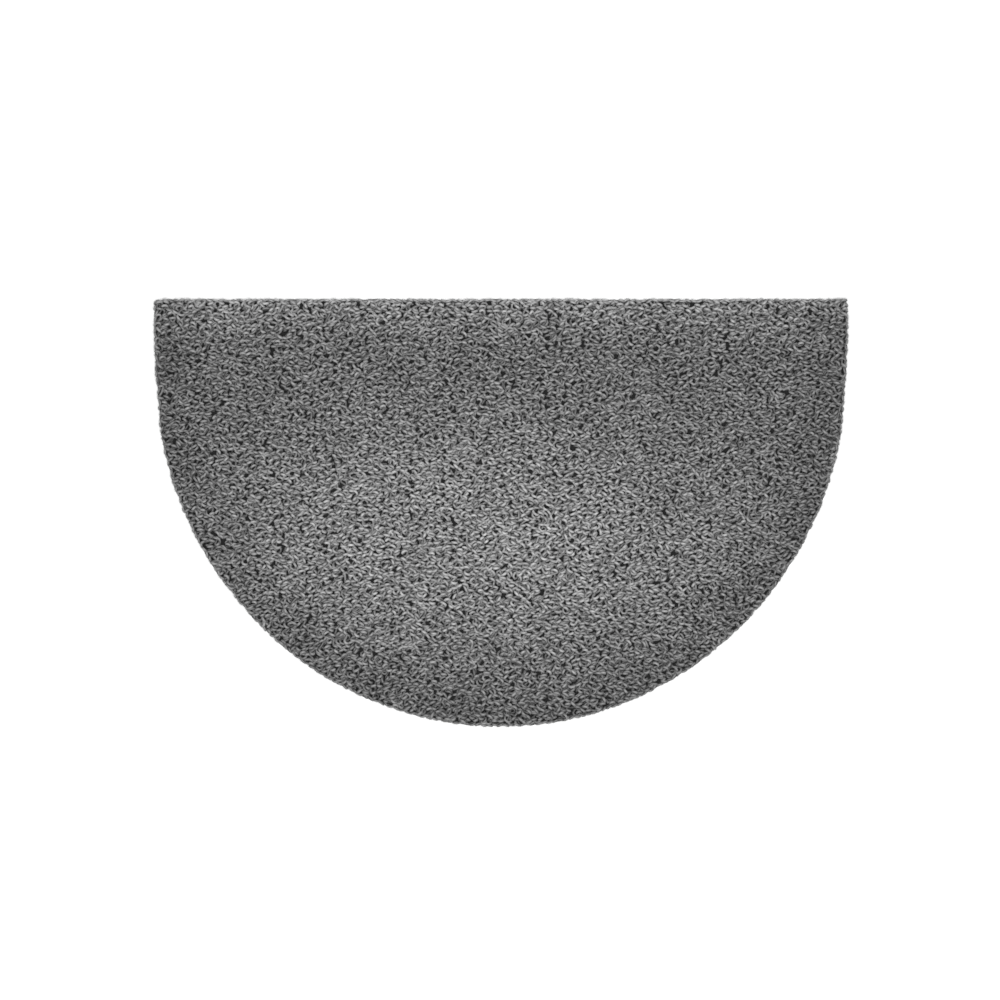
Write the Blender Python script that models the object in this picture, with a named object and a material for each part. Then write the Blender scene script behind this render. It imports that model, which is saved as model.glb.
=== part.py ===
"""Half round entrance doormat of looped plastic filament, lying flat on its underside.

The mat is one piece: a springy pile of tangled filament loops on a thin backing. Seen from
above it has a straight edge, two short near-parallel sides and a half ellipse. The straight
edge is at +Y, the mat's width runs along X and its flat underside is at Z = 0.
"""

import math
import random

import bmesh
import bpy
import numpy as np
from mathutils import Vector
from mathutils.geometry import delaunay_2d_cdt

# Overall size, in metres
MAT_WIDTH = 0.650
MAT_DEPTH = 0.400
MAT_HEIGHT = 0.012

# Plan outline: the sides run almost parallel below the straight edge, then the curve starts
SIDE_LENGTH = 0.062
CORNER_RADIUS = 0.004
LEAST_CORNER_RADIUS = 0.0006
WAIST_INSET = 0.0022
WAIST_BELOW_EDGE = 0.090
WAIST_REACH = 0.036

# How many locks of filament stick out along each stretch of the rim
LOCKS_ON_STRAIGHT_EDGE = 92
LOCKS_ON_SIDE = 8
LOCKS_ON_CURVE = 148

# Section of the rim, from the underside up
BACKING_HEIGHT = 0.002
PILE_WALL_TOP = 0.0085
SHOULDER_TOP = 0.0108
WALL_INSET = 0.0028
SHOULDER_INSET = 0.0060

# Each lock: a four-sided stub that narrows, bends and ends near the outline. The short faces
# at the two corners carry none
LOCK_STEPS = 2
LOCK_ROOT_MARGIN = 0.0014
SHORTEST_LOCK_FACE = 0.0042
LOCK_REACH_LEAST = 0.0014
LOCK_REACH_MOST = 0.0032
LOCK_BEND = 0.0009
LOCK_NARROWING = 0.72

# Tufts of the top: one high or low point each
TUFT_PITCH = 0.0145
TUFT_SCATTER = 0.0030
TUFT_LOWEST = 0.0094
EDGE_CLEARANCE = 0.0080

SEED = 11
CURVE_SAMPLES = 2000
JOIN_DISTANCE = 0.000001

HALF_WIDTH = MAT_WIDTH / 2
STRAIGHT_EDGE_Y = MAT_DEPTH / 2
CURVE_START_Y = STRAIGHT_EDGE_Y - SIDE_LENGTH
CURVE_DEPTH = MAT_DEPTH - SIDE_LENGTH


def clear_scene():
    """Removes every object that is already in the scene."""
    for old in list(bpy.data.objects):
        bpy.data.objects.remove(old, do_unlink=True)


def waist(y):
    """How far the outline draws in just below the shoulders, where the mat was cut."""
    offset = (STRAIGHT_EDGE_Y - y - WAIST_BELOW_EDGE) / WAIST_REACH
    return WAIST_INSET * math.exp(-offset * offset)


def even_curve_angles():
    """Angles from right to left that share the half ellipse into equal lengths."""
    angles = np.linspace(0.0, math.pi, CURVE_SAMPLES)
    x = HALF_WIDTH * np.cos(angles)
    y = CURVE_DEPTH * np.sin(angles)
    steps = np.hypot(np.diff(x), np.diff(y))
    along = np.concatenate([[0.0], np.cumsum(steps)])
    wanted = np.linspace(0.0, along[-1], LOCKS_ON_CURVE + 1)
    return np.interp(wanted, along, angles)


def outline(inset):
    """Points of the plan outline moved inwards, clockwise from the straight edge's left end."""
    radius = max(CORNER_RADIUS - inset, LEAST_CORNER_RADIUS)
    half_width = HALF_WIDTH - inset
    top = STRAIGHT_EDGE_Y - inset
    centre_x = half_width - radius
    centre_y = top - radius
    points = []
    for i in range(LOCKS_ON_STRAIGHT_EDGE + 1):
        points.append((centre_x * (2 * i / LOCKS_ON_STRAIGHT_EDGE - 1), top))
    diagonal = radius * math.sqrt(0.5)
    points.append((centre_x + diagonal, centre_y + diagonal))
    for i in range(LOCKS_ON_SIDE):
        y = centre_y + (CURVE_START_Y - centre_y) * i / LOCKS_ON_SIDE
        points.append((half_width - waist(y), y))
    for angle in even_curve_angles():
        y = CURVE_START_Y - (CURVE_DEPTH - inset) * math.sin(angle)
        side = math.cos(angle)
        points.append((half_width * side - waist(y) * side, y))
    for i in range(LOCKS_ON_SIDE - 1, -1, -1):
        y = centre_y + (CURVE_START_Y - centre_y) * i / LOCKS_ON_SIDE
        points.append((waist(y) - half_width, y))
    points.append((-centre_x - diagonal, centre_y + diagonal))
    return points


def add_ring(bm, inset, height):
    """Adds one closed ring of the rim's section and returns its vertices and edges."""
    verts = [bm.verts.new((x, y, height)) for x, y in outline(inset)]
    edges = [bm.edges.new((a, b)) for a, b in zip(verts, verts[1:] + verts[:1])]
    return verts, edges


def inside(point, loop):
    """True where a point lies inside a closed plan loop, by counting crossings."""
    x, y = point
    crossings = 0
    for (ax, ay), (bx, by) in zip(loop, loop[1:] + loop[:1]):
        if (ay > y) != (by > y) and x < ax + (y - ay) * (bx - ax) / (by - ay):
            crossings += 1
    return crossings % 2 == 1


def tuft_points(rng):
    """Plan positions of the tufts: a scattered triangular grid that keeps off the rim."""
    limit = outline(SHOULDER_INSET + EDGE_CLEARANCE)
    row_pitch = TUFT_PITCH * math.sqrt(0.75)
    rows = int(MAT_DEPTH / row_pitch) + 1
    columns = int(MAT_WIDTH / TUFT_PITCH) + 1
    points = []
    for row in range(rows):
        for column in range(columns):
            shift = TUFT_PITCH / 2 if row % 2 else 0.0
            x = column * TUFT_PITCH - HALF_WIDTH + shift + rng.uniform(-0.5, 0.5) * TUFT_SCATTER
            y = row * row_pitch - STRAIGHT_EDGE_Y + rng.uniform(-0.5, 0.5) * TUFT_SCATTER
            if inside((x, y), limit):
                points.append((x, y))
    return points


def add_pile_top(bm, rim_verts, rng):
    """Fills the top ring with a net of triangles whose inner points are tufts."""
    tufts = tuft_points(rng)
    plan = [Vector((v.co.x, v.co.y)) for v in rim_verts] + [Vector(p) for p in tufts]
    count = len(rim_verts)
    border = [(i, (i + 1) % count) for i in range(count)]
    _, _, triangles, _, _, _ = delaunay_2d_cdt(plan, border, [list(range(count))], 1, JOIN_DISTANCE)
    verts = list(rim_verts)
    for x, y in tufts:
        verts.append(bm.verts.new((x, y, rng.uniform(TUFT_LOWEST, MAT_HEIGHT))))
    for corners in triangles:
        bm.faces.new([verts[i] for i in corners])


def shortest_edge(face):
    """Length of a face's shortest side."""
    return min(edge.calc_length() for edge in face.edges)


def add_locks(bm, walls, rng):
    """Draws each wall face out into a tapered, bent lock of filament."""
    bmesh.ops.inset_individual(bm, faces=walls, thickness=LOCK_ROOT_MARGIN)
    faces = walls
    for _ in range(LOCK_STEPS):
        grown = bmesh.ops.extrude_discrete_faces(bm, faces=faces)["faces"]
        for face in grown:
            outward = Vector((face.normal.x, face.normal.y, 0.0)).normalized()
            sideways = Vector((-outward.y, outward.x, 0.0))
            reach = rng.uniform(LOCK_REACH_LEAST, LOCK_REACH_MOST) / LOCK_STEPS
            step = outward * reach
            step += sideways * rng.uniform(-LOCK_BEND, LOCK_BEND)
            step.z += rng.uniform(-LOCK_BEND, LOCK_BEND)
            centre = face.calc_center_median()
            for vert in face.verts:
                vert.co = centre + (vert.co - centre) * LOCK_NARROWING + step
        faces = grown


def filament_material():
    """Grey plastic filament, dull and a little uneven."""
    material = bpy.data.materials.new("grey_filament")
    material.use_nodes = True
    shader = material.node_tree.nodes["Principled BSDF"]
    shader.inputs["Base Color"].default_value = (0.17, 0.17, 0.17, 1.0)
    shader.inputs["Roughness"].default_value = 0.7
    shader.inputs["Metallic"].default_value = 0.0
    return material


def make_loop_mat():
    """The whole mat: flat underside, backing edge, lumpy pile and a rim of locks."""
    rng = random.Random(SEED)
    bm = bmesh.new()
    base_verts, base_edges = add_ring(bm, WALL_INSET, 0.0)
    _, backing_edges = add_ring(bm, WALL_INSET, BACKING_HEIGHT)
    _, wall_edges = add_ring(bm, WALL_INSET, PILE_WALL_TOP)
    shoulder_verts, shoulder_edges = add_ring(bm, SHOULDER_INSET, SHOULDER_TOP)

    bmesh.ops.bridge_loops(bm, edges=base_edges + backing_edges)
    walls = bmesh.ops.bridge_loops(bm, edges=backing_edges + wall_edges)["faces"]
    bmesh.ops.bridge_loops(bm, edges=wall_edges + shoulder_edges)
    bm.faces.new(base_verts)
    add_pile_top(bm, shoulder_verts, rng)
    bmesh.ops.recalc_face_normals(bm, faces=bm.faces)

    walls.sort(key=lambda face: math.atan2(*face.calc_center_median().xy))
    roomy = [face for face in walls if shortest_edge(face) > SHORTEST_LOCK_FACE]
    add_locks(bm, roomy, rng)
    bmesh.ops.triangulate(bm, faces=bm.faces)

    mesh = bpy.data.meshes.new("loop_mat")
    bm.to_mesh(mesh)
    bm.free()
    mesh.materials.append(filament_material())
    mat = bpy.data.objects.new("loop_mat", mesh)
    bpy.context.scene.collection.objects.link(mat)
    return mat


clear_scene()
make_loop_mat()
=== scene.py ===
"""Dresses the half round entrance doormat: a thin backing under a springy tangle of filament.

Run as a script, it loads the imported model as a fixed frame, builds the mat's pieces around it
one operator after another, and sets a plain studio stage.
"""

import math

import bmesh
import bpy
import numpy as np
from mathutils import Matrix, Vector, kdtree


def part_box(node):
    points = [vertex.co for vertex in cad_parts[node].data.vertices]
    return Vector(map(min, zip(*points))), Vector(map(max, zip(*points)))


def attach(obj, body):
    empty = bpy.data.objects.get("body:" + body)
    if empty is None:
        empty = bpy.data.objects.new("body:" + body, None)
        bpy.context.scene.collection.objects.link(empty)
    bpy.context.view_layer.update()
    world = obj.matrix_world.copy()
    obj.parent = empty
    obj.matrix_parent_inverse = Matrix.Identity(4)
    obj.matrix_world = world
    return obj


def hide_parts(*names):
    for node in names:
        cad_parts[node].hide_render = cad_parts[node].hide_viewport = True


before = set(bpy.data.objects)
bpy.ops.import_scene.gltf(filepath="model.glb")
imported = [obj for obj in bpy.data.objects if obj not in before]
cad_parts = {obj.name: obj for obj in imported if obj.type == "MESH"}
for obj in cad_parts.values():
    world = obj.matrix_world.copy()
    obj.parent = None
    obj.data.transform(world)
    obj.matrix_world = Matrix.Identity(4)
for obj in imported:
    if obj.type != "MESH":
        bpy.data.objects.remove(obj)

bl_info = {
    "name": "Half Round Doormat",
    "version": (1, 0, 0),
    "blender": (4, 5, 0),
    "location": "3D View > Sidebar > Doormat",
    "description": "Builds a half round entrance mat of looped filament",
    "category": "Object",
}

NODE = "loop_mat"
BODY = "root"
BACKING_NAME = "backing_sheet"

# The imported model's box gives the mat's width, depth and height, in metres like every length here
CAD_LOW, CAD_HIGH = (Vector(corner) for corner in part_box(NODE))
CENTRE_X = (CAD_LOW.x + CAD_HIGH.x) / 2
HALF_WIDTH = (CAD_HIGH.x - CAD_LOW.x) / 2
STRAIGHT_EDGE_Y = CAD_HIGH.y
FRONT_Y = CAD_LOW.y
PILE_TOP = CAD_HIGH.z

# Plan outline: near-parallel sides below the straight edge, then a half ellipse
SIDE_LENGTH = 0.062
CORNER_RADIUS = 0.004
LEAST_CORNER_RADIUS = 0.0005
WAIST_INSET = 0.0022
WAIST_BELOW_EDGE = 0.090
WAIST_REACH = 0.036
CURVE_START_Y = STRAIGHT_EDGE_Y - SIDE_LENGTH
CURVE_DEPTH = CURVE_START_Y - FRONT_Y

# How many points each stretch of the outline is first worked out with
CORNER_SAMPLES = 100
SIDE_SAMPLES = 400
CURVE_SAMPLES = 4000

# The backing is cut just inside the pile
BACKING_INSET = 0.0006
BACKING_STEP = 0.004

# The photo is square, in pixels, and looks straight down on the mat
IMAGE_WIDTH = 1000
MAT_LEFT_PX, MAT_RIGHT_PX = 153.0, 849.0
MAT_TOP_PX, MAT_BOTTOM_PX = 298.0, 728.0
LENS_MM = 85.0
SENSOR_MM = 36.0

# The studio: a floor just under the mat, and one large soft lamp over it
FLOOR_REACH = 12.0
FLOOR_GAP = 0.0003
LAMP_SIDE = 0.7
LAMP_WATTS = 26.0
LAMP_PLACE = (0.02, -0.05, 1.6)
BACKDROP_COLOUR = (1, 1, 1, 1)
BACKDROP_STRENGTH = 0.55


def linear(hex_colour):
    """Turns an sRGB hex colour into the linear numbers that Blender's shaders take."""
    channels = [int(hex_colour[i : i + 2], 16) / 255 for i in (1, 3, 5)]
    return tuple(c / 12.92 if c <= 0.04045 else ((c + 0.055) / 1.055) ** 2.4 for c in channels)


class DoormatSizes(bpy.types.PropertyGroup):
    """Sizes of the mat's pieces."""

    # Real filament is about 1 mm thick, too fine for a picture with a pixel to the millimetre.
    # It is drawn as coarse as it needs to show, and thinner at the edge so that coils stand apart
    filament: bpy.props.FloatProperty(
        name="Filament",
        description="Diameter of one extruded filament",
        default=0.0027,
        unit="LENGTH",
    )
    edge_filament: bpy.props.FloatProperty(
        name="Edge filament",
        description="Diameter of the filament along the cut edge",
        default=0.0022,
        unit="LENGTH",
    )
    backing: bpy.props.FloatProperty(
        name="Backing",
        description="Thickness of the backing",
        default=0.002,
        unit="LENGTH",
    )


class DoormatColours(bpy.types.PropertyGroup):
    """Colours of the mat's finishes and of the floor."""

    filament_light: bpy.props.FloatVectorProperty(
        name="Filament, top",
        description="Grey of the filament where light and feet reach it",
        default=linear("#9b9b9b"),
        size=3,
        subtype="COLOR",
    )
    # The deep grey is painted shade low in the pile
    filament_shaded_deep: bpy.props.FloatVectorProperty(
        name="Filament, deep",
        description="Grey of the filament low in the pile, where fine dust stays",
        default=linear("#4e4e4e"),
        size=3,
        subtype="COLOR",
    )
    # Near-black, so that it also paints the shade in the gaps between loops
    backing: bpy.props.FloatVectorProperty(
        name="Backing",
        description="Colour of the backing",
        default=linear("#1e1e1e"),
        size=3,
        subtype="COLOR",
    )
    floor: bpy.props.FloatVectorProperty(
        name="Floor",
        description="Colour of the plain floor",
        default=linear("#f4f4f4"),
        size=3,
        subtype="COLOR",
    )


def waist(y):
    """How far the outline draws in just below the shoulders."""
    offset = (STRAIGHT_EDGE_Y - y - WAIST_BELOW_EDGE) / WAIST_REACH
    return WAIST_INSET * np.exp(-offset * offset)


def outline_points(margin, spacing):
    """Evenly spaced plan points round the mat, clockwise, a margin inside its outline."""
    radius = max(CORNER_RADIUS - margin, LEAST_CORNER_RADIUS)
    half_width = HALF_WIDTH - margin
    centre_x = half_width - radius
    centre_y = STRAIGHT_EDGE_Y - margin - radius
    quarter = np.linspace(math.pi / 2, 0, CORNER_SAMPLES)
    side_y = np.linspace(centre_y, CURVE_START_Y, SIDE_SAMPLES)
    angle = np.linspace(0, math.pi, CURVE_SAMPLES)
    curve_y = CURVE_START_Y - (CURVE_DEPTH - margin) * np.sin(angle)
    x = np.concatenate([
        centre_x + radius * np.cos(quarter),
        half_width - waist(side_y),
        (half_width - waist(curve_y)) * np.cos(angle),
        waist(side_y[::-1]) - half_width,
        -centre_x - radius * np.cos(quarter[::-1]),
    ])
    y = np.concatenate([
        centre_y + radius * np.sin(quarter),
        side_y,
        curve_y,
        side_y[::-1],
        centre_y + radius * np.sin(quarter[::-1]),
    ])
    x, y = np.append(x, x[0]), np.append(y, y[0])
    along = np.concatenate([[0.0], np.cumsum(np.hypot(np.diff(x), np.diff(y)))])
    count = int(round(along[-1] / spacing))
    wanted = np.arange(count) * along[-1] / count
    return np.stack([np.interp(wanted, along, x) + CENTRE_X, np.interp(wanted, along, y)], axis=1)


def pulled_inside(points, margin):
    """Moves points that lie outside the outline, less a margin, back onto it in plan."""
    x = points[:, 0] - CENTRE_X
    y = np.minimum(points[:, 1], STRAIGHT_EDGE_Y - margin)
    half_width = HALF_WIDTH - margin - waist(y)
    below = np.maximum(CURVE_START_Y - y, 0)
    over = np.maximum(np.hypot(x / half_width, below / (CURVE_DEPTH - margin)), 1)
    x = x / over
    y = np.where(below > 0, CURVE_START_Y - below / over, y)
    return np.stack([x + CENTRE_X, y, points[:, 2]], axis=1)


def inside(x, y, margin):
    """True where plan points lie inside the outline by a margin."""
    half_width = HALF_WIDTH - margin - waist(y)
    below = np.maximum(CURVE_START_Y - y, 0)
    reach = np.hypot((x - CENTRE_X) / half_width, below / (CURVE_DEPTH - margin))
    return (reach <= 1) & (y <= STRAIGHT_EDGE_Y - margin)


def add_node(tree, kind, values=None, links=None, **settings):
    """Adds a node with its properties, its input values and the sockets that feed it."""
    node = tree.nodes.new(kind)
    for name, setting in settings.items():
        setattr(node, name, setting)
    for name, value in (values or {}).items():
        node.inputs[name].default_value = value
    for name, socket in (links or {}).items():
        tree.links.new(socket, node.inputs[name])
    return node


def new_material(name):
    """An empty material, and the node tree that its shader goes into."""
    material = bpy.data.materials.new(name)
    material.use_nodes = True
    tree = material.node_tree
    tree.nodes.clear()
    return material, tree


# Painted shade low in the pile makes it darker from the tips down to this height
TIP_Z, SHADED_Z = 0.0120, 0.0030
# Tone changes from loop to loop, and a quarter as much from one hand's width to the next.
# The two noises together stay about 0.625
LOOP_PATTERN = 0.006
PATCH_PATTERN = 0.060
PATCH_SHARE = 0.25
NOISE_LOW, NOISE_HIGH = 0.325, 0.925
DARK_LOOP, PALE_LOOP = 0.55, 1.45
# A painted pool of light makes the middle of the mat paler, a little towards its round edge
LIT_MIDDLE = (-0.03, -0.022, 0.0)
LIT_REACH = (0.30, 0.14, 1.0)
LIT_FROM, LIT_TO = 0.15, 1.2
LIT_TONE, UNLIT_TONE = 1.18, 0.76
# A strip along the straight edge is kept nearly as pale as the middle
PALE_STRIP_FROM_Y, PALE_STRIP_TO_Y = 0.150, 0.200
PALE_STRIP_TONE = 1.42
# Painted shade darkens a band along the curve, in shares of the way from the ellipse's middle to it
RIM_SHADE_FROM, RIM_SHADE_TO = 0.82, 0.98
RIM_SHADE_TONE = 0.78
# Clean stretches of filament are waxy and dusty ones dull
WAXY_ROUGHNESS, DULL_ROUGHNESS = 0.42, 0.62


def vinyl_filament(colours):
    """Plasticised PVC filament, extruded hot and set as it fell into loops."""
    # Extruding leaves a smooth skin, so the eye sees a soft waxy line along the top of each loop.
    # The colour gives the rest: paler tips over darker depths as painted shade, a painted pool of
    # light over the middle, a pale strip along the straight edge, and painted shade in a band along
    # the curve
    material, tree = new_material("extruded_vinyl_filament")
    place = add_node(tree, "ShaderNodeTexCoord").outputs["Object"]
    axes = add_node(tree, "ShaderNodeSeparateXYZ", links={"Vector": place}).outputs
    # Painted shade: the grey darkens from the tips down into the pile
    height = add_node(
        tree,
        "ShaderNodeMapRange",
        {"From Min": SHADED_Z, "From Max": TIP_Z},
        {"Value": axes["Z"]},
    ).outputs["Result"]
    # A colour Mix has its factor at socket 0, its two colours at 6 and 7, and its result at 2
    by_height = add_node(
        tree,
        "ShaderNodeMix",
        {6: (*colours.filament_shaded_deep, 1), 7: (*colours.filament_light, 1)},
        {0: height},
        data_type="RGBA",
    ).outputs[2]
    loop_noise = add_node(
        tree,
        "ShaderNodeTexNoise",
        {"Scale": 1 / LOOP_PATTERN, "Detail": 2.0},
        {"Vector": place},
    ).outputs["Fac"]
    patch_noise = add_node(
        tree,
        "ShaderNodeTexNoise",
        {"Scale": 1 / PATCH_PATTERN, "Detail": 2.0},
        {"Vector": place},
    ).outputs["Fac"]
    uneven = add_node(
        tree,
        "ShaderNodeMath",
        {1: PATCH_SHARE},
        {0: patch_noise, 2: loop_noise},
        operation="MULTIPLY_ADD",
    ).outputs["Value"]
    mottle = add_node(
        tree,
        "ShaderNodeMapRange",
        {"From Min": NOISE_LOW, "From Max": NOISE_HIGH, "To Min": DARK_LOOP, "To Max": PALE_LOOP},
        {"Value": uneven},
    ).outputs["Result"]
    from_middle = add_node(
        tree,
        "ShaderNodeMapping",
        {"Location": LIT_MIDDLE, "Scale": LIT_REACH},
        {"Vector": place},
        vector_type="TEXTURE",
    ).outputs["Vector"]
    distance = add_node(
        tree, "ShaderNodeVectorMath", links={0: from_middle}, operation="LENGTH"
    ).outputs["Value"]
    # Painted pool of light: paler in the middle, darker away from it
    pool_of_light = add_node(
        tree,
        "ShaderNodeMapRange",
        {"From Min": LIT_FROM, "From Max": LIT_TO, "To Min": LIT_TONE, "To Max": UNLIT_TONE},
        {"Value": distance},
        interpolation_type="SMOOTHSTEP",
    ).outputs["Result"]
    # Paler towards the straight edge
    pale_strip = add_node(
        tree,
        "ShaderNodeMapRange",
        {"From Min": PALE_STRIP_FROM_Y, "From Max": PALE_STRIP_TO_Y, "To Min": 1.0, "To Max": PALE_STRIP_TONE},
        {"Value": axes["Y"]},
        interpolation_type="SMOOTHSTEP",
    ).outputs["Result"]
    in_ellipse = add_node(
        tree,
        "ShaderNodeMapping",
        {"Location": (CENTRE_X, CURVE_START_Y, 0.0), "Scale": (HALF_WIDTH, CURVE_DEPTH, 1.0)},
        {"Vector": place},
        vector_type="TEXTURE",
    ).outputs["Vector"]
    reach = add_node(
        tree, "ShaderNodeVectorMath", links={0: in_ellipse}, operation="LENGTH"
    ).outputs["Value"]
    # Painted shade along the curved edge
    rim_shade = add_node(
        tree,
        "ShaderNodeMapRange",
        {"From Min": RIM_SHADE_FROM, "From Max": RIM_SHADE_TO, "To Min": 1.0, "To Max": RIM_SHADE_TONE},
        {"Value": reach},
        interpolation_type="SMOOTHSTEP",
    ).outputs["Result"]
    tone = mottle
    for factor in (pool_of_light, pale_strip, rim_shade):
        tone = add_node(
            tree, "ShaderNodeMath", links={0: tone, 1: factor}, operation="MULTIPLY"
        ).outputs["Value"]
    colour = add_node(
        tree, "ShaderNodeVectorMath", links={0: by_height, 1: tone}, operation="MULTIPLY"
    ).outputs["Vector"]
    roughness = add_node(
        tree,
        "ShaderNodeMapRange",
        {"To Min": WAXY_ROUGHNESS, "To Max": DULL_ROUGHNESS},
        {"Value": loop_noise},
    ).outputs["Result"]
    shader = add_node(
        tree,
        "ShaderNodeBsdfPrincipled",
        {"IOR": 1.53, "Metallic": 0.0},
        {"Base Color": colour, "Roughness": roughness},
    )
    add_node(tree, "ShaderNodeOutputMaterial", links={"Surface": shader.outputs["BSDF"]})
    return material


# The roller's grain is a few tenths of a millimetre, drawn coarser so that it shows at all
BACKING_GRAIN = 0.0016
BACKING_GRAIN_DEPTH = 0.0003
GRAIN_STRENGTH = 0.3
DARK_GRAIN, PALE_GRAIN = 0.7, 1.3


def vinyl_backing(colours):
    """Filled vinyl sheet, calendered between rollers and bonded to the loops."""
    # Calendering leaves a matt skin with a faint grain, so the backing is a dark, dull line at
    # the mat's foot that takes no highlight. Its near-black colour also paints the shade seen
    # between the loops
    material, tree = new_material("calendered_vinyl_backing")
    place = add_node(tree, "ShaderNodeTexCoord").outputs["Object"]
    grain = add_node(
        tree,
        "ShaderNodeTexNoise",
        {"Scale": 1 / BACKING_GRAIN, "Detail": 3.0},
        {"Vector": place},
    ).outputs["Fac"]
    tone = add_node(
        tree,
        "ShaderNodeMapRange",
        {"To Min": DARK_GRAIN, "To Max": PALE_GRAIN},
        {"Value": grain},
    ).outputs["Result"]
    colour = add_node(
        tree,
        "ShaderNodeVectorMath",
        {0: tuple(colours.backing)},
        {1: tone},
        operation="MULTIPLY",
    ).outputs["Vector"]
    bump = add_node(
        tree,
        "ShaderNodeBump",
        {"Strength": GRAIN_STRENGTH, "Distance": BACKING_GRAIN_DEPTH},
        {"Height": grain},
    ).outputs["Normal"]
    shader = add_node(
        tree,
        "ShaderNodeBsdfPrincipled",
        {"IOR": 1.5, "Metallic": 0.0, "Roughness": 0.85, "Specular IOR Level": 0.2},
        {"Base Color": colour, "Normal": bump},
    )
    add_node(tree, "ShaderNodeOutputMaterial", links={"Surface": shader.outputs["BSDF"]})
    return material


def plain_floor(colours):
    """Matt emulsion, rolled on a smooth floor."""
    # Rolled paint scatters light evenly, so the floor reads as plain white round the mat
    material, tree = new_material("matt_studio_floor")
    shader = add_node(
        tree,
        "ShaderNodeBsdfPrincipled",
        {"Base Color": (*colours.floor, 1), "Roughness": 0.9, "IOR": 1.45},
    )
    add_node(tree, "ShaderNodeOutputMaterial", links={"Surface": shader.outputs["BSDF"]})
    return material


def link_object(name, data):
    """Puts a new object with this data into the scene."""
    made = bpy.data.objects.new(name, data)
    bpy.context.scene.collection.objects.link(made)
    return made


# A curve's plainest round bevel has four sides
FILAMENT_SIDES = 4


def lay_out_filaments(mesh):
    """Gives each face of a filament mesh its own square of the image that colours are baked to.

    The faces of one step along a filament are stacked, and the steps follow each other in rows.
    The end caps' triangles come first in the mesh, and go last in the image.
    """
    faces = len(mesh.polygons)
    corners = np.empty(faces, dtype=np.int32)
    mesh.polygons.foreach_get("loop_total", corners)
    first = np.concatenate([[0], np.cumsum(corners)[:-1]])
    caps = int((corners == 3).sum())
    layer = mesh.uv_layers[0]
    layer.name = "OFBake"
    flat = np.empty(2 * len(mesh.loops), dtype=np.float32)
    layer.uv.foreach_get("vector", flat)
    places = flat.reshape(-1, 2)
    low = np.minimum.reduceat(places, first)
    size = np.maximum.reduceat(places, first) - low
    size[size == 0] = 1
    within = (places - np.repeat(low, corners, axis=0)) / np.repeat(size, corners, axis=0)
    cap_corner = np.array([(0, 0), (1, 0), (0, 1)] * caps, dtype=np.float32)
    within[: len(cap_corner)] = cap_corner
    number = np.repeat((np.arange(faces) - caps) % faces, corners)
    step, side = number // FILAMENT_SIDES, number % FILAMENT_SIDES
    steps = math.ceil(faces / FILAMENT_SIDES)
    rows = math.ceil(math.sqrt(steps / FILAMENT_SIDES))
    columns = math.ceil(steps / rows)
    across = (step % columns + within[:, 0]) / columns
    up = (step // columns * FILAMENT_SIDES + side + within[:, 1]) / (rows * FILAMENT_SIDES)
    layer.uv.foreach_set("vector", np.column_stack([across, up]).astype(np.float32).ravel())


def filament_piece(name, paths, diameter, material):
    """One mesh of round filaments that follow the given paths."""
    curve = bpy.data.curves.new(name, "CURVE")
    curve.dimensions = "3D"
    curve.bevel_depth = diameter / 2
    curve.bevel_resolution = 0
    curve.use_fill_caps = True
    for path in paths:
        spline = curve.splines.new("POLY")
        spline.points.add(len(path) - 1)
        spline.points.foreach_set("co", np.column_stack([path, np.ones(len(path))]).ravel())
    guide = link_object(name + "_guide", curve)
    graph = bpy.context.evaluated_depsgraph_get()
    mesh = bpy.data.meshes.new_from_object(guide.evaluated_get(graph), depsgraph=graph)
    bpy.data.objects.remove(guide)
    bpy.data.curves.remove(curve)
    mesh.materials.clear()
    mesh.materials.append(material)
    lay_out_filaments(mesh)
    return link_object(name, mesh)


# The pile is a deep bed of loops, an upper bed that shows from above, and a row of coils along
# the cut edge. In each bed, loops keep this spacing or more, and those in one column share a
# filament, with so many points to a loop. A loop's heading is its turn to either side from the
# straight edge, or from the cut edge in the row of coils, and the spread is the turn's standard
# deviation. Its lean is measured from level, in radians like its heading, and its crest is the
# top of the filament. Each bundle of a bed is a piece of its own, which keeps each piece under
# 200,000 triangles
LOOP_BEDS = (
    {
        "name": "lower_loops",
        "bundles": 3,
        "spacing": 0.0036,
        "column": 0.0080,
        "points": 7,
        "least_radius": 0.0026,
        "most_radius": 0.0038,
        "least_lean": 0.35,
        "heading": 0.45,
        "heading_spread": 0.35,
        "least_crest": 0.0062,
        "most_crest": 0.0094,
    },
    {
        "name": "upper_loops",
        "bundles": 3,
        "spacing": 0.0038,
        "column": 0.0080,
        "points": 9,
        "least_radius": 0.0016,
        "most_radius": 0.0028,
        "least_lean": 1.0,
        "heading": 0.42,
        "heading_spread": 0.28,
        "least_crest": 0.0086,
        "most_crest": 0.0120,
    },
)
RIM_BED = {
    "name": "rim_loops",
    "spacing": 0.0052,
    "least_inset": 0.0009,
    "most_inset": 0.0021,
    "points": 12,
    "least_radius": 0.0024,
    "most_radius": 0.0034,
    "least_lean": 1.3,
    "heading": 0.35,
    "heading_spread": 0.12,
    "least_crest": 0.0076,
    "most_crest": 0.0104,
}
SEED = 7
# Enough random points to leave hardly any room for one more loop in a bed
DARTS = 60000
# Loops lie more along the straight edge than across it, so they need more room that way
SIDEWAYS_STRETCH = 1.2
# A filament's middle keeps these shares of its diameter above the backing and off the outline
LIFT_SHARE = 0.4
MARGIN_SHARE = 0.35


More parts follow.
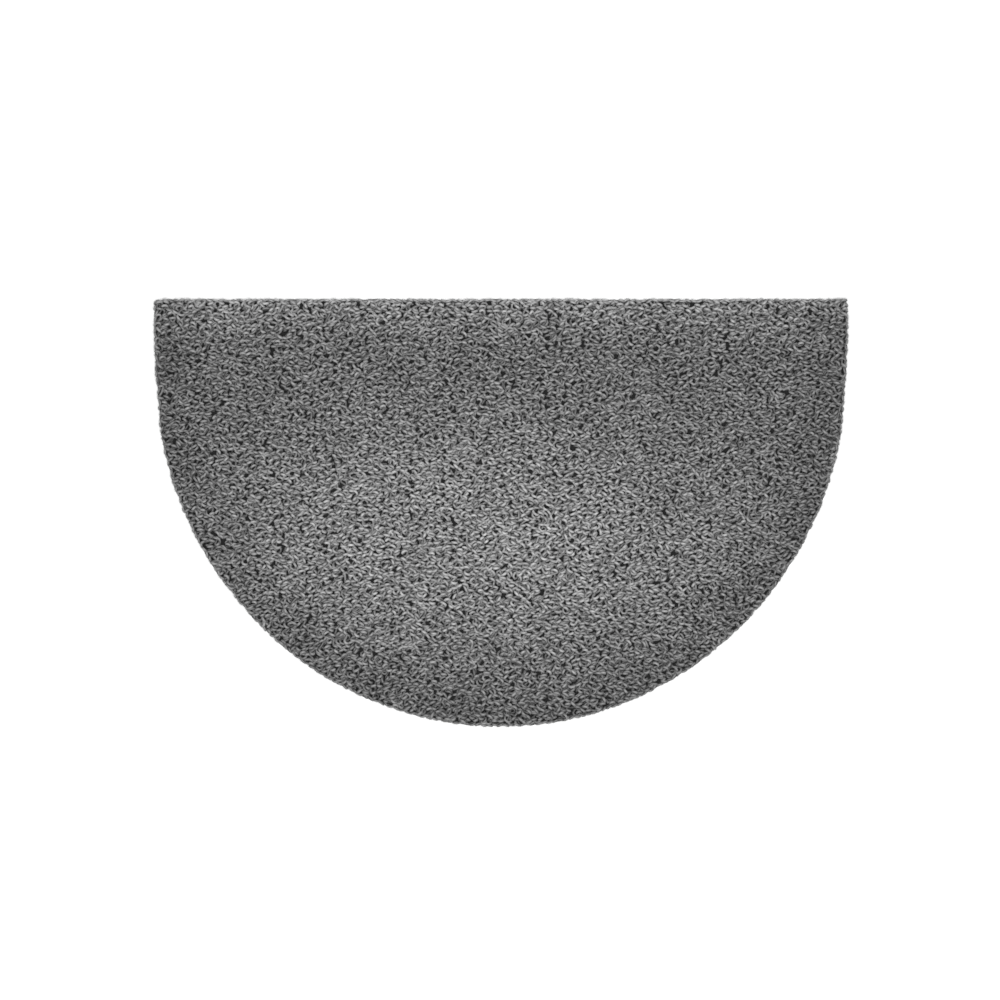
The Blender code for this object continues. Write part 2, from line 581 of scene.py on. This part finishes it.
def scattered_points(bed, rng):
    """Plan points thrown over the mat at random, each thrown away if it lands near another."""
    low = (CENTRE_X - HALF_WIDTH, FRONT_Y)
    high = (CENTRE_X + HALF_WIDTH, STRAIGHT_EDGE_Y)
    darts = rng.uniform(low, high, (DARTS, 2))
    darts = darts[inside(darts[:, 0], darts[:, 1], bed["most_radius"])]
    places = [(x / SIDEWAYS_STRETCH, y, 0.0) for x, y in darts]
    tree = kdtree.KDTree(len(places))
    for index, place in enumerate(places):
        tree.insert(place, index)
    tree.balance()
    free = np.ones(len(places), dtype=bool)
    chosen = []
    for index, place in enumerate(places):
        if free[index]:
            chosen.append(index)
            for _, near, _ in tree.find_range(place, bed["spacing"]):
                free[near] = False
    return darts[chosen]


def columns_of(points, width):
    """Sorts plan points into columns across the mat, each in order along its length."""
    column = np.floor((points[:, 0] - CENTRE_X + HALF_WIDTH) / width)
    for number in np.unique(column):
        members = points[column == number]
        if len(members) > 1:
            yield members[np.argsort(members[:, 1])]


def loop_path(backing, diameter, bed, centres, direction, rng):
    """One filament that curls into a leaning loop at each centre and runs on low to the next."""
    count = len(centres)
    radius = rng.uniform(bed["least_radius"], bed["most_radius"], count)
    side = rng.choice((-1, 1), count)
    heading = direction + side * bed["heading"] + rng.normal(0, bed["heading_spread"], count)
    lean = rng.uniform(bed["least_lean"], math.pi - bed["least_lean"], count)
    crest = rng.uniform(bed["least_crest"], bed["most_crest"], count) - diameter / 2
    turn = np.arange(count)
    time = np.arange(count * bed["points"] + 1) / bed["points"] - 0.5
    # A loop's own values hold near its crest and change between loops. The cube is flat at the
    # crest, and four times the cube of a half is a half, so one loop ends where the next starts
    past_crest = time - np.round(time)
    held = np.round(time) + 4 * past_crest**3
    x, y, radius, heading, lean, crest = (
        np.interp(held, turn, values)
        for values in (centres[:, 0], centres[:, 1], radius, heading, lean, crest)
    )
    lowest = backing + diameter * LIFT_SHARE
    rise = np.minimum(radius * np.sin(lean), (crest - lowest) / 2)
    phase = 2 * math.pi * time + math.pi / 2
    along = radius * np.cos(phase)
    across = radius * np.sin(phase) * np.cos(lean)
    path = np.column_stack([
        x + along * np.cos(heading) - across * np.sin(heading),
        y + along * np.sin(heading) + across * np.cos(heading),
        crest - rise + rise * np.sin(phase),
    ])
    return pulled_inside(path, diameter * MARGIN_SHARE)


def bed_paths(sizes, bed, rng):
    """The filaments of one bed, in columns across the mat."""
    points = scattered_points(bed, rng)
    return [
        loop_path(sizes.backing, sizes.filament, bed, column, 0.0, rng)
        for column in columns_of(points, bed["column"])
    ]


def rim_path(sizes, rng):
    """A row of upright loops that follows the cut edge all the way round."""
    centres = outline_points(RIM_BED["least_inset"], RIM_BED["spacing"])
    forward = np.roll(centres, -1, axis=0) - np.roll(centres, 1, axis=0)
    # The first loop comes again at the end, so the row has no gap where it closes
    centres, forward = (np.vstack([part, part[:1]]) for part in (centres, forward))
    direction = np.unwrap(np.arctan2(forward[:, 1], forward[:, 0]))
    inward = rng.uniform(0, RIM_BED["most_inset"] - RIM_BED["least_inset"], len(centres))
    centres = centres + np.column_stack([np.sin(direction), -np.cos(direction)]) * inward[:, None]
    return loop_path(sizes.backing, sizes.edge_filament, RIM_BED, centres, direction, rng)


def dress(piece):
    """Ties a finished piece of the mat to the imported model."""
    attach(piece, BODY)
    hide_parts(NODE)


class DOORMAT_OT_backing(bpy.types.Operator):
    """Build the thin backing that the filament is bonded to"""

    bl_idname = "doormat.backing"
    bl_label = "Backing"

    def execute(self, context):
        sizes = context.scene.doormat_sizes
        bm = bmesh.new()
        plan = outline_points(BACKING_INSET, BACKING_STEP)
        edge = [bm.verts.new((x, y, 0.0)) for x, y in plan]
        # Of the ways to extrude, this one makes the sides in the same order each run. It moves
        # the sheet up with them, so the underside is filled again
        [top] = bmesh.ops.extrude_discrete_faces(bm, faces=[bm.faces.new(edge)])["faces"]
        bmesh.ops.translate(bm, verts=top.verts, vec=(0, 0, sizes.backing))
        bm.faces.new(edge)
        bmesh.ops.recalc_face_normals(bm, faces=bm.faces)
        mesh = bpy.data.meshes.new(BACKING_NAME)
        bm.to_mesh(mesh)
        bm.free()
        mesh.materials.append(vinyl_backing(context.scene.doormat_colours))
        dress(link_object(BACKING_NAME, mesh))
        return {"FINISHED"}


class DOORMAT_OT_pile(bpy.types.Operator):
    """Build the pile: two beds of leaning filament loops and a row of coils along the cut edge"""

    bl_idname = "doormat.pile"
    bl_label = "Pile"

    def execute(self, context):
        sizes = context.scene.doormat_sizes
        material = vinyl_filament(context.scene.doormat_colours)
        rng = np.random.default_rng(SEED)
        for bed in LOOP_BEDS:
            paths = bed_paths(sizes, bed, rng)
            for bundle in range(bed["bundles"]):
                name = f"{bed['name']}_{bundle + 1}"
                shared = paths[bundle :: bed["bundles"]]
                piece = filament_piece(name, shared, sizes.filament, material)
                dress(piece)
        edge = [rim_path(sizes, rng)]
        rim = filament_piece(RIM_BED["name"], edge, sizes.edge_filament, material)
        dress(rim)
        return {"FINISHED"}


class DOORMAT_OT_stage(bpy.types.Operator):
    """Set the camera above the mat, one soft lamp, a pale backdrop and a plain floor"""

    bl_idname = "doormat.stage"
    bl_label = "Stage"

    def execute(self, context):
        scene = context.scene
        bm = bmesh.new()
        bmesh.ops.create_grid(bm, x_segments=1, y_segments=1, size=FLOOR_REACH)
        bmesh.ops.translate(bm, verts=bm.verts, vec=(0, 0, -FLOOR_GAP))
        mesh = bpy.data.meshes.new("studio_floor")
        bm.to_mesh(mesh)
        bm.free()
        mesh.materials.append(plain_floor(scene.doormat_colours))
        link_object("studio_floor", mesh)

        # The camera stands where the mat fills the same pixels as in the photo
        metres_per_px = 2 * HALF_WIDTH / (MAT_RIGHT_PX - MAT_LEFT_PX)
        middle_x_px = (MAT_LEFT_PX + MAT_RIGHT_PX) / 2
        middle_y_px = (MAT_TOP_PX + MAT_BOTTOM_PX) / 2
        camera = bpy.data.cameras.new("camera")
        camera.lens = LENS_MM
        camera.sensor_width = SENSOR_MM
        eye = link_object("camera", camera)
        eye.location = (
            CENTRE_X + (IMAGE_WIDTH / 2 - middle_x_px) * metres_per_px,
            (STRAIGHT_EDGE_Y + FRONT_Y) / 2 + (middle_y_px - IMAGE_WIDTH / 2) * metres_per_px,
            PILE_TOP + IMAGE_WIDTH * metres_per_px * LENS_MM / SENSOR_MM,
        )
        scene.camera = eye

        lamp = bpy.data.lights.new("softbox", "AREA")
        lamp.shape = "SQUARE"
        lamp.size = LAMP_SIDE
        lamp.energy = LAMP_WATTS
        softbox = link_object(lamp.name, lamp)
        softbox.location = LAMP_PLACE
        softbox.visible_camera = False

        world = bpy.data.worlds.new("studio")
        scene.world = world
        world.use_nodes = True
        backdrop = world.node_tree.nodes["Background"]
        backdrop.inputs["Color"].default_value = BACKDROP_COLOUR
        backdrop.inputs["Strength"].default_value = BACKDROP_STRENGTH
        scene.view_settings.view_transform = "Standard"
        return {"FINISHED"}


class DOORMAT_PT_panel(bpy.types.Panel):
    """The mat's sizes, colours and pieces"""

    bl_label = "Half Round Doormat"
    bl_idname = "DOORMAT_PT_panel"
    bl_space_type = "VIEW_3D"
    bl_region_type = "UI"
    bl_category = "Doormat"

    def draw(self, context):
        scene = context.scene
        for group in (scene.doormat_sizes, scene.doormat_colours):
            for name in group.bl_rna.properties.keys():
                if name not in ("rna_type", "name"):
                    self.layout.prop(group, name)
        for operator in OPERATORS:
            self.layout.operator(operator.bl_idname)


OPERATORS = (DOORMAT_OT_backing, DOORMAT_OT_pile, DOORMAT_OT_stage)
CLASSES = (DoormatSizes, DoormatColours, *OPERATORS, DOORMAT_PT_panel)


def register():
    """Makes the mat's sizes, colours, operators and panel known to Blender."""
    for cls in CLASSES:
        bpy.utils.register_class(cls)
    bpy.types.Scene.doormat_sizes = bpy.props.PointerProperty(type=DoormatSizes)
    bpy.types.Scene.doormat_colours = bpy.props.PointerProperty(type=DoormatColours)


def unregister():
    """Takes out what register put in."""
    del bpy.types.Scene.doormat_colours
    del bpy.types.Scene.doormat_sizes
    for cls in reversed(CLASSES):
        bpy.utils.unregister_class(cls)


def main():
    """Builds the mat and the stage."""
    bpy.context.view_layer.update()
    register()
    bpy.ops.doormat.backing()
    bpy.ops.doormat.pile()
    bpy.ops.doormat.stage()


if __name__ == "__main__":
    main()
